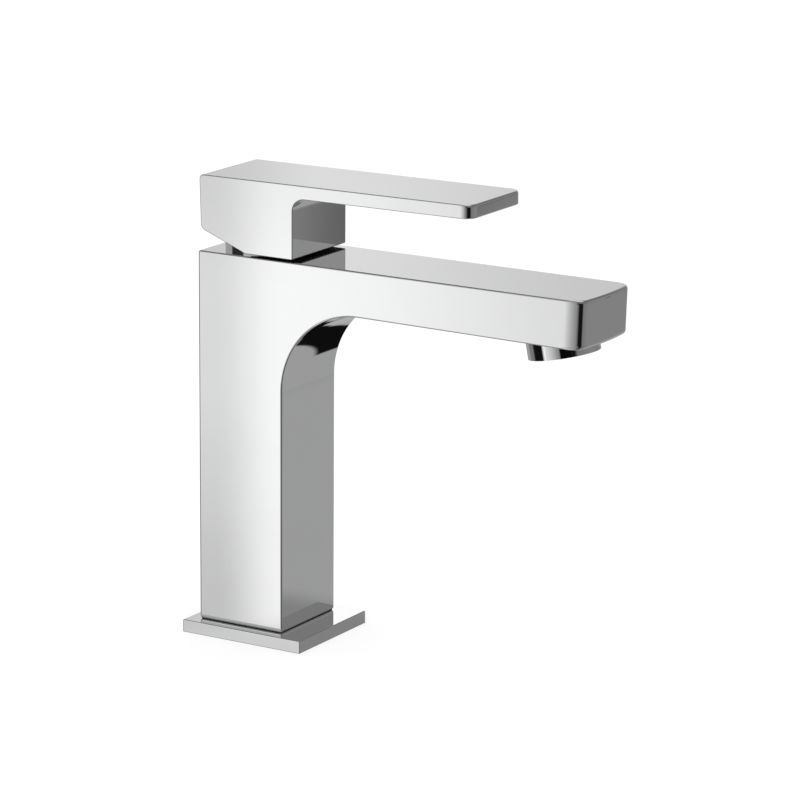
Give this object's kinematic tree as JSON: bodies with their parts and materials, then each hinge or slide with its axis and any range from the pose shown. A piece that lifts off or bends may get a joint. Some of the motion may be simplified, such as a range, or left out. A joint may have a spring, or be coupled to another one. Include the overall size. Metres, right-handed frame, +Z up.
{
  "type": "basin mixer faucet",
  "caption": "Basin mixer tap: square column swept into a flat straight spout with a tilted aerator, a blade lever above a round collar, and a rectangular base plate.",
  "frame": {"origin": "middle of the body's spigot underside, level with the deck, on the axis of the column", "axes": "+Z up the column, -Y out along the spout, +X to the side; the lever is in its closed, straight-ahead place"},
  "size_m": [0.043, 0.1553, 0.1631],
  "materials": {
    "chrome_plate": "polished",
    "nut_brass": "turned",
    "steel": "satin",
    "seal_rubber": "matte",
    "cartridge_plastic": "moulded",
    "carrier_plastic": "moulded",
    "disc_ceramic": "lapped",
    "aerator_plastic": "moulded",
    "plug_plastic": "gloss"
  },
  "bodies": {
    "fixed": {"faucet_body": "chrome_plate", "base_plate": "chrome_plate", "base_gasket": "seal_rubber", "column_seal": "seal_rubber", "cartridge_base": "cartridge_plastic", "port_seals": "seal_rubber", "disc_seals": "seal_rubber", "fixed_disc": "disc_ceramic", "cartridge_housing": "cartridge_plastic", "housing_seal": "seal_rubber", "retaining_nut": "nut_brass", "collar": "chrome_plate", "collar_seal": "seal_rubber", "aerator_housing": "chrome_plate", "aerator_insert": "aerator_plastic", "aerator_filter": "aerator_plastic", "aerator_washer": "seal_rubber"},
    "swivel": {"stem_carrier": "carrier_plastic", "pivot_pin": "steel"},
    "lever": {"lever_stem": "steel", "lever_handle": "chrome_plate", "set_screw": "steel", "index_plug": "plug_plastic"},
    "slider": {"disc_carrier": "carrier_plastic", "moving_disc": "disc_ceramic"}
  },
  "joints": [
    {"name": "lever_swivel", "type": "hinge", "parent": "fixed", "child": "swivel", "pos_m": [0, 0, 0.1235], "axis": [0, 0, 1], "range_deg": [-45, 45]},
    {"name": "lever_lift", "type": "hinge", "parent": "swivel", "child": "lever", "pos_m": [0, 0, 0.1235], "axis": [-1, 0, 0], "range_deg": [0, 21.5]},
    {"name": "disc_slide", "type": "slide", "parent": "swivel", "child": "slider", "axis": [0, -1, 0], "range_m": [0, 0.003]}
  ],
  "couplings": [
    {"joint": "disc_slide", "follows": "lever_lift", "m_per_rad": 0.00795}
  ]
}
